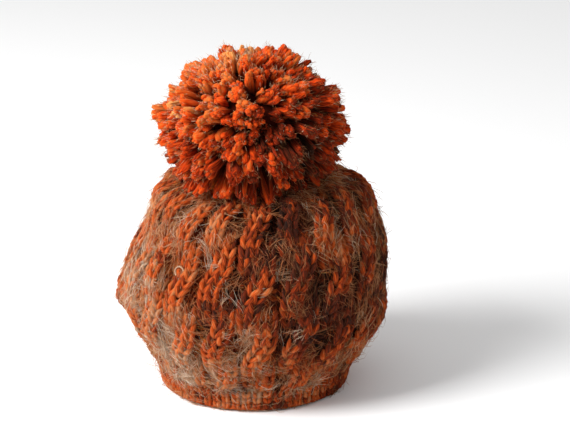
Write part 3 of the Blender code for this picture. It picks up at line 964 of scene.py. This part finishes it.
# Spots seen from the front: millimetres to the right and up from the ball's middle, reach, length,
# tone added, width. The tone added is painted light and shade: lighter on ends that stand out, darker in the
# hollows and toward the lower right
ballSpots = [
    (-19, 66, 10, 0.90, 0.0, 1.0),
    (-6, -32, 6, 1.04, 0.12, 1.35),
    (-12, -44, 5, 1.02, 0.08, 1.2),
    (25, 26, 7, 1.03, 0.10, 1.3),
    (-4, 16, 7, 1.02, 0.10, 1.2),
    (6, 26, 9, 1.0, 0.08, 1.0),
    (-36, 6, 12, 1.01, 0.06, 1.1),
    (-28, 34, 16, 1.0, 0.05, 1.0),
    (12, -46, 6, 1.02, 0.08, 1.2),
    (17, -1, 10, 0.84, -0.20, 0.9),
    (29, -9, 12, 0.86, -0.28, 0.9),
    (9, -22, 6, 0.86, -0.18, 0.9),
    (-15, -22, 9, 0.93, -0.18, 1.0),
    (-22, -36, 8, 0.86, -0.18, 0.9),
    (-40, -9, 9, 0.98, -0.08, 1.0),
    (48, -20, 24, 0.99, -0.17, 1.0),
    (28, -30, 14, 0.97, -0.10, 1.0),
    (-64, 27, 20, 0.75, 0.04, 1.0),
    (-54, 44, 14, 0.88, 0.04, 1.0),
    (-68, -3, 8, 1.05, 0.04, 1.2),
    (-60, -32, 19, 0.79, 0.0, 1.0),
    (60, 31, 15, 0.81, -0.04, 1.0),
    (69, 14, 7, 1.04, -0.02, 1.15),
    (70, 1, 7, 0.94, -0.06, 1.0),
    (69, -17, 7, 1.02, -0.06, 1.15),
    (56, -40, 14, 0.90, -0.08, 0.9),
    (36, -52, 13, 0.88, -0.08, 0.9),
]


def spotShares(directions):
    # How much of each spot a direction has
    shares = []
    level = view["elevation"]
    for across, up, reach, _, _, _ in ballSpots:
        right = across * mm / ball["radius"]
        high = up * mm / ball["radius"]
        near = math.sqrt(max(0.0, 1 - right**2 - high**2))
        forward = high * math.sin(level) - near * math.cos(level)
        aim = unit(np.array([right, forward, high * math.cos(level) + near * math.sin(level)]))
        away = np.linalg.norm(directions - aim, axis=1) * ball["radius"] / (reach * mm)
        shares.append(np.exp(-(away**2)))
    return np.array(shares)


def pompomEnds():
    directions = spiral(ball["ends"], -0.93, 0.034)
    count = len(directions)
    locks = spiral(ball["locks"], -0.93, 0.06)
    owner = (directions @ locks.T).argmax(axis=1)
    nearest = locks[owner]
    length = 1 + ball["hollows"] * perlin(nearest, 2.3) + dice.normal(0, 0.045, len(locks))[owner]
    length = np.clip(length + dice.normal(0, ball["uneven"], count), 0.78, 1.0)
    shares = spotShares(directions)
    spots = np.array(ballSpots)
    length = length * np.prod(1 + shares * (spots[:, 3:4] - 1), axis=0)
    swayed = np.stack([perlin(directions + shift, 2.0) for shift in (3.1, 7.7, 12.3)], axis=-1) * ball["sway"]
    stray = np.clip(dice.normal(0, 1, directions.shape), -2, 2) * ball["stray"]
    stray = stray + np.clip(dice.normal(0, 1, locks.shape), -1.8, 1.8)[owner] * ball["lockStray"]
    lines = []
    for step in ball["rings"]:
        outer = (step - ball["rings"][0]) / (1 - ball["rings"][0])
        aimed = unit(directions + (nearest - directions) * ball["lean"] * outer)
        point = ballPoint(aimed, length * step) + (swayed + stray) * outer
        point[:, 2] -= ball["droop"] * outer * (1 - directions[:, 2]) / 2
        sunk = crownHeight(point[:, 0], point[:, 1]) + 2.5 * mm - point[:, 2]
        point[:, 2] += np.maximum(0, sunk)
        lines.append(point)
    lines = np.stack(lines, axis=1)
    plump = np.clip(dice.normal(1, 0.17, count), 0.62, 1.4)
    plump = plump * np.prod(1 + shares * (spots[:, 5:6] - 1), axis=0)
    tones = ball["tone"] + 0.20 * perlin(nearest, 2.6) + dice.normal(0, 0.07, count)
    tones = tones + dice.normal(0, 0.06, len(locks))[owner]
    # Painted light: ends lighter on the left and top, toward the lamp, and darker on the right and bottom
    tones = tones + directions @ np.array([-0.10, 0.0, 0.10]) + (shares * spots[:, 4:5]).sum(axis=0)
    pale = dice.random(count) < 0.03
    tones = np.where(pale, dice.uniform(0.62, 0.80, count), tones)
    return lines, plump, tones, directions


def plies(lines, plump, tones, directions):
    # Two plies wound round each end's centre line, cut at slightly different lengths
    one = unit(np.cross(directions, unit(dice.normal(0, 1, directions.shape))))
    two = np.cross(directions, one)
    start = dice.uniform(0, fullTurn, len(lines))
    rings = np.arange(lines.shape[1])
    swell = ball["swell"]
    made, radii, plyTones, uprights = [], [], [], []
    for ply in (0, 1):
        turn = start[:, None] + ply * math.pi + ball["twist"] * rings
        aside = one[:, None] * np.cos(turn)[..., None] + two[:, None] * np.sin(turn)[..., None]
        offset = plump[:, None] * swell * ball["plyOffset"]
        place = lines + aside * offset[..., None]
        cut = dice.normal(0, 1.1 * mm, len(lines))
        place[:, -1] += unit(lines[:, -1] - lines[:, -2]) * cut[:, None]
        made.append(place)
        radii.append(plump[:, None] * swell * ball["plyRadius"] * dice.normal(1, 0.08, (len(lines), 1)))
        plyTones.append(tones + dice.normal(0, 0.045, len(lines)))
        uprights.append(one)
    return np.concatenate(made), np.concatenate(radii), np.concatenate(plyTones), np.concatenate(uprights)


endLines, endPlump, endTones, endDirections = pompomEnds()
plyLines, plyRadii, plyTones, plyUprights = plies(endLines, endPlump, endTones, endDirections)
pompomTint = (1.0, 0.57, 0.24)
pompomWool = woolMaterial("pompomWool", heather, 0.8, pompomTint, (11, 4.0), plies=1, twistDepth=0.7)
ends = tubes(plyLines, plyRadii, plyUprights, 5, capLength=0.25)
# Painted light from above on the ends' colour
paintedLitFromAbove = np.tile(1 + ball["paintedLightUp"] * endDirections[:, 2], 2)[:, None]
addPiece("pompomEnds", ends, plyTones, ball["paintedShades"] * paintedLitFromAbove, pompomWool)


def pompomCore():
    bpy.ops.object.select_all(action="DESELECT")
    bpy.ops.mesh.primitive_ico_sphere_add(subdivisions=4, radius=1.0)
    piece = bpy.context.object
    piece.name = "pompomCore"
    points = np.array([vertex.co for vertex in piece.data.vertices])
    places = ballPoint(points, ball["core"] * (1 + 0.10 * perlin(points, 4.0)))
    floor = np.maximum(ball["seat"], crownHeight(places[:, 0], places[:, 1]) + 0.6 * mm)
    places[:, 2] = np.maximum(places[:, 2], floor)
    piece.data.vertices.foreach_set("co", places.ravel())
    piece.data.shade_smooth()
    # Painted shade: the core's low tone and shading stand for the shade deep inside the ball
    for name, value in (("tone", 0.30), ("shade", 0.30)):
        attribute = piece.data.attributes.new(name, "FLOAT", "POINT")
        attribute.data.foreach_set("value", np.full(len(points), value, np.float32))
    piece.data.materials.append(pompomWool)
    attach(piece, "root")
    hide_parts("pompom")


pompomCore()

# Mohair: fine fibres that spring from the stitches and lie over them
mohair = {
    "wisps": 190,                 # pale ones that stand out
    "perClump": 6,
    "acrossSlits": 0.12,          # share kept of the fibres that cross a slit
    "radius": 0.165 * mm,
}

# Where the haze is thick or thin: angle in degrees, height and reach in millimetres, and the share it adds
hazePatches = [
    (-128, 42, 34, 0.8),
    (-95, 25, 26, 0.5),
    (-118, 150, 16, 0.3),
    (-148, 100, 26, 0.5),
    (-60, 4, 26, 1.0),
    (-88, 4, 20, 0.6),
    (-30, 20, 24, 0.5),
    (-92, 140, 18, -0.8),
    (-111, 94, 20, -0.7),
    (-75, 150, 14, -0.5),
    (-84, 100, 14, -0.4),
    (-26, 100, 22, 0.6),
    (-40, 132, 28, 0.35),
]

# Tufts that catch the eye: angle in degrees, height, heading in degrees from straight up, length, curl, tone
tufts = [
    (-73, 107, -20, 17, 0.5, 0.98),
    (-71, 111, -12, 13, -0.4, 0.96),
    (-66, 113, -80, 15, 0.3, 0.84),
    (-63, 107, -84, 13, 0.2, 0.80),
    (-104, 121, -25, 22, 0.9, 0.92),
    (-101, 112, -30, 18, -0.6, 0.90),
    (-120, 137, -20, 15, 0.3, 0.92),
    (-150, 106, -22, 15, 0.2, 0.95),
    (-118, 105, 60, 17, 5.0, 0.93),
    (-120, 66, -75, 20, -0.8, 0.92),
    (-62, 68, -78, 16, 0.8, 0.86),
    (-88, 84, -15, 17, 0.5, 0.92),
    (-96, 88, 8, 14, -0.6, 0.90),
    (-54, 77, 60, 15, 0.9, 0.84),
    (-24, 137, 10, 20, -0.9, 0.86),
    (-12, 100, 70, 19, 0.5, 0.92),
    (-15, 112, 20, 17, 0.8, 0.86),
    (-30, 118, -35, 19, 0.9, 0.84),
    (-84, 60, -35, 13, 0.4, 0.90),
    (-132, 48, -70, 17, 0.7, 0.93),
]


def strands(roots, heading, outward, length, rise, curl, radius):
    # Curved fibres from their roots, with a bend for each column of rise, the last being the tip
    third = np.cross(outward, heading)
    bends = rise.shape[1]
    place = roots
    line = [place]
    for step in range(bends):
        turn = curl * (step - 0.3) / 2
        way = heading * np.cos(turn)[:, None] + third * np.sin(turn)[:, None]
        place = place + way * (length / bends)[:, None] + rise[:, step][:, None] * outward
        line.append(place)
    radii = radius[:, None] * np.array([0.7, 1.0, 0.75, 0.2] if bends == 3 else [0.8, 1.0, 0.2])
    return np.stack(line, axis=1), radii


def clothFrame(angle, distance, lift):
    # Places over the stitches, with the cloth's own directions there
    height = clothRelief(angle % fullTurn, distance) + lift
    here, out = clothPoint(angle, distance, height)
    above = clothPoint(angle, distance + 2 * mm, height)[0]
    up = unit(above - here)
    return here, up, unit(np.cross(up, out)), out


def hairs(angle, distance, per, heading, spread, straying, length, stand, curl, thick, tone, toneSpread,
          rising=(1.2, 0.7, -0.1)):
    # Clumps of fibres: one set of values for each clump, and each fibre strays from its clump's
    clump = np.repeat(np.arange(len(angle)), per)
    many = len(clump)
    aside = dice.normal(0, spread, (many, 2))
    hairAngle = angle[clump] + aside[:, 0] / (88 * mm)
    hairDistance = np.clip(distance[clump] + aside[:, 1], 0.5 * mm, clothLength * 0.93)
    roots, up, across, out = clothFrame(hairAngle, hairDistance, dice.uniform(0.3, 1.8, many) * mm)
    lean = heading[clump] + dice.normal(0, straying, many)
    way = up * np.cos(lean)[:, None] + across * np.sin(lean)[:, None]
    base = dice.exponential(stand * 0.85, many)
    rise = base[:, None] * np.array(rising) + dice.normal(0.05 * mm, 0.3 * mm, (many, len(rising)))
    hairLength = length[clump] * dice.uniform(0.65, 1.15, many)
    hairCurl = curl[clump] + dice.normal(0, 0.4, many)
    radius = mohair["radius"] * thick * dice.uniform(0.75, 1.3, many)
    lines, radii = strands(roots, way, out, hairLength, rise, hairCurl, radius)
    lines[..., 2] = np.maximum(lines[..., 2], 0.4 * mm)
    return lines, radii, out, tone[clump] + dice.normal(0, toneSpread, many)


def acrossSlits(lines):
    # Which fibres cross a slit's opening
    crossing = np.zeros(len(lines), bool)
    angle = np.arctan2(lines[..., 1], lines[..., 0])
    for slit in slits:
        aside = np.abs(angleFrom(angle, slit["angle"])) * np.hypot(lines[..., 0], lines[..., 1])
        crossing |= (aside < slitHalfWidth(slit, lines[..., 2]) + 0.5 * mm)[:, 1:].any(axis=1)
    return crossing


def scattered(count, patches, margin=2 * mm, onCrests=False):
    # Angles and distances all over the cloth, closer together where the patches say so
    angle = dice.uniform(0, fullTurn, 2 * count)
    distance = dice.uniform(margin, clothLength * 0.88, 2 * count)
    thick = np.clip(1 + patchesAt(clothFrame(angle, distance, 0.0)[0], patches), 0.1, 2)
    if onCrests:
        hem = 0.55 * (1 - smoothStep(8 * mm, 18 * mm, distance))
        thick = thick * (0.05 + np.maximum(hem, smoothStep(-4 * mm, -1.5 * mm, clothRelief(angle, distance))))
    chosen = np.argsort(-dice.random(2 * count) ** (1 / thick))[:count]
    return angle[chosen], distance[chosen]


# The sets of brushed fibres: short fuzz in the yarn's own colours, longer haze that flows over the
# cloth, and pale fibres along the crests, which soften the stitches. Lengths are in millimetres
fibreSets = {
    "stitchFuzz": {
        "clumps": 3260, "patches": [], "onCrests": False, "lean": (-0.30, 0.45), "flow": 0.5,
        "tone": (0.05, 0.10), "patchTone": 0.0, "toneSpread": 0.07, "length": (5, 11), "curl": 0.7,
        "spread": 2.0 * mm, "straying": 0.42, "stand": 0.5 * mm, "thick": 0.9, "rising": (1.5, 0.2),
    },
    "looseHaze": {
        "clumps": 1840, "patches": hazePatches, "onCrests": False, "lean": (-0.30, 0.30), "flow": 3.4,
        "tone": (0.13, 0.12), "patchTone": 0.14, "toneSpread": 0.06, "length": (11, 24), "curl": 1.0,
        "spread": 2.2 * mm, "straying": 0.42, "stand": 0.8 * mm, "thick": 1.0, "rising": (1.2, 0.7, -0.1),
    },
    "crestHaze": {
        "clumps": 950, "patches": hazePatches, "onCrests": True, "lean": (-0.30, 0.35), "flow": 0.6,
        "tone": (0.22, 0.08), "patchTone": 0.0, "toneSpread": 0.06, "length": (6, 13), "curl": 0.7,
        "spread": 1.8 * mm, "straying": 0.35, "stand": 0.5 * mm, "thick": 1.0, "rising": (1.5, 0.2),
    },
}


def brushed(name):
    fibres = fibreSets[name]
    count = fibres["clumps"]
    angle, distance = scattered(count, fibres["patches"], onCrests=fibres["onCrests"])
    roots = clothFrame(angle, distance, 0.0)[0]
    heading = dice.normal(*fibres["lean"], count) + fibres["flow"] * perlin(roots, 24.0)
    heading = heading + math.pi * dice.integers(0, 2, count)
    thickest = np.clip(patchesAt(roots, fibres["patches"]), 0, 1)
    tone = toneAt(roots) + dice.normal(*fibres["tone"], count) + fibres["patchTone"] * thickest
    length = dice.uniform(*fibres["length"], count) * mm
    curl = dice.normal(0, fibres["curl"], count)
    return hairs(angle, distance, mohair["perClump"], heading, fibres["spread"], fibres["straying"], length,
                 fibres["stand"], curl, fibres["thick"], tone, fibres["toneSpread"], fibres["rising"])


def wisps():
    count = mohair["wisps"]
    angle, distance = scattered(count, hazePatches, 6 * mm)
    heading = dice.uniform(-math.pi, math.pi, count)
    length = dice.uniform(9, 19, count) * mm
    curl = dice.normal(0, 0.9, count)
    tone = dice.uniform(0.76, 0.96, count)
    return hairs(angle, distance, mohair["perClump"], heading, 1.5 * mm, 0.28, length, 0.6 * mm, curl, 0.8,
                 tone, 0.05)


def tuftHairs():
    # The tufts as listed
    turned, height, heading, length, curl, tone = np.array(tufts).T
    return hairs(np.radians(turned), distanceAt(height * mm), 9, np.radians(heading), 1.3 * mm, 0.22,
                 length * mm, 0.5 * mm, curl, 1.0, tone, 0.06)


def addFibres(name, parts, material):
    kept = ~acrossSlits(parts[0]) | (dice.random(len(parts[0])) < mohair["acrossSlits"])
    lines, radii, outs, tones = (part[kept] for part in parts)
    made = tubes(lines, radii, outs, 3, pointed=True)
    addPiece(name, made, np.clip(tones, 0.08, 0.98), 1.0, material)


fuzzWool = woolMaterial("fuzzWool", heather, 0.2, streaks=(1.0, 3.0))
mohairWool = woolMaterial("mohairWool", haze, 0.2, streaks=(1.0, 3.0))
addFibres("stitchFuzz", brushed("stitchFuzz"), fuzzWool)
hazeParts = [brushed("looseHaze"), wisps(), tuftHairs()]
addFibres("looseHaze", [np.concatenate(same) for same in zip(*hazeParts)], mohairWool)
addFibres("crestHaze", brushed("crestHaze"), mohairWool)

# Pompom fibres: short hairs that fray each end's side and cut
pompomMohair = {
    "perEnd": 7,
    "length": (3 * mm, 7 * mm),
    "radius": 0.13 * mm,
    "paleShare": 0.11,
}


def ballFibres():
    per = pompomMohair["perEnd"]
    many = len(endLines) * per
    owner = np.repeat(np.arange(len(endLines)), per)
    share = dice.uniform(0.5, 1.0, many)
    parts = endLines.shape[1] - 1
    segment = np.minimum((share * parts).astype(int), parts - 1)
    part = (share * parts - segment)[:, None]
    start = endLines[owner, segment] * (1 - part) + endLines[owner, segment + 1] * part
    along = unit(endLines[owner, -1] - endLines[owner, 1])
    around = unit(np.cross(along, dice.normal(0, 1, along.shape)))
    roots = start + around * (endPlump[owner] * 2.2 * mm)[:, None]
    heading = unit(along + around * dice.uniform(-0.1, 0.9, many)[:, None])
    outward = unit(np.cross(heading, np.cross(around, heading)))
    length = dice.uniform(*pompomMohair["length"], many)
    rise = dice.normal(0.1 * mm, 0.4 * mm, (many, 2))
    radius = pompomMohair["radius"] * dice.uniform(0.8, 1.4, many)
    lines, radii = strands(roots, heading, outward, length, rise, dice.normal(0, 0.9, many), radius)
    tones = endTones[owner] + dice.normal(0.04, 0.12, many)
    tones = np.where(dice.random(many) < pompomMohair["paleShare"], dice.uniform(0.72, 0.95, many), tones)
    return lines, radii, outward, np.clip(tones, 0.12, 0.95)


ballLines, ballRadii, ballOuts, ballTones = ballFibres()
ballHair = tubes(ballLines, ballRadii, ballOuts, 3, pointed=True)
# Painted shade at each hair's root
addPiece("pompomMohair", ballHair, ballTones, np.array([0.65, 1.0]), mohairWool)

# Loose loops of the yarn: angle in degrees, height, diameter, lean in degrees, tone
looseLoops = [
    (-117, 105, 7.5, 15, 0.88),
    (-33, 66, 6.0, -30, 0.78),
    (62, 92, 7.0, 20, 0.84),
    (128, 124, 6.5, -15, 0.90),
]


def loops():
    made = np.array(looseLoops)
    heights = basePoint(meridianPlaces, np.full(len(meridianPlaces), -math.pi / 2))[:, 2]
    distance = np.interp(made[:, 1] * mm, heights[:140], meridianWalked[:140])
    here, up, across, out = clothFrame(np.radians(made[:, 0]), distance, 0.6 * mm * np.ones(len(made)))
    turn = np.linspace(0.25, fullTurn - 0.25, 16) - math.pi / 2
    lean = np.radians(made[:, 3])[:, None]
    sideways = across * np.cos(lean) + up * np.sin(lean)
    upright = up * np.cos(lean) - across * np.sin(lean)
    radius = made[:, 2, None, None] * mm / 2
    raised = 0.2 + 0.8 * np.sin((turn + math.pi / 2) / 2)
    line = here[:, None] + radius * (
        np.cos(turn)[None, :, None] * sideways[:, None]
        + (1 + np.sin(turn))[None, :, None] * upright[:, None]
        + raised[None, :, None] * 0.5 * out[:, None]
    )
    radii = np.ones((len(made), len(turn))) * 0.62 * mm
    return tubes(line, radii, out, 5), made[:, 4]


loopTubes, loopTones = loops()
addPiece("looseLoops", loopTubes, loopTones, 1.0, stitchWool)

# Camera and light


def addCamera():
    data = bpy.data.cameras.new("photoCamera")
    data.sensor_width = 36.0
    data.lens = data.sensor_width * view["pixelsPerMetre"] * view["distance"] / view["photoWidth"]
    data.clip_start = 0.01
    data.clip_end = 50.0
    camera = bpy.data.objects.new("photoCamera", data)
    bpy.context.scene.collection.objects.link(camera)
    back = Vector((0, -math.cos(view["elevation"]), math.sin(view["elevation"])))
    camera.location = Vector(view["aim"]) + back * view["distance"]
    camera.rotation_euler = (math.pi / 2 - view["elevation"], 0, 0)
    bpy.context.scene.camera = camera


def addLight(name, size, power, place):
    data = bpy.data.lights.new(name, "AREA")
    data.size = size
    data.energy = power
    light = bpy.data.objects.new(name, data)
    bpy.context.scene.collection.objects.link(light)
    light.location = place
    light.rotation_euler = (Vector((0, 0, 0.12)) - Vector(place)).to_track_quat("-Z", "Y").to_euler()


def addStage():
    bpy.ops.object.select_all(action="DESELECT")
    bpy.ops.mesh.primitive_plane_add(size=16.0)
    floor = bpy.context.object
    floor.name = "paleFloor"
    material = bpy.data.materials.new("paleFloor")
    material.use_nodes = True
    shader = material.node_tree.nodes["Principled BSDF"]
    shader.inputs["Base Color"].default_value = (0.93, 0.93, 0.93, 1)
    shader.inputs["Roughness"].default_value = 0.9
    floor.data.materials.append(material)
    world = bpy.data.worlds.new("paleRoom")
    bpy.context.scene.world = world
    world.use_nodes = True
    world.node_tree.nodes["Background"].inputs["Color"].default_value = (1, 1, 1, 1)
    world.node_tree.nodes["Background"].inputs["Strength"].default_value = 0.62


addCamera()
addStage()
addLight("softKey", 0.9, 52.0, (-1.22, -0.70, 1.22))
bpy.context.scene.view_settings.view_transform = "Standard"

print("done")
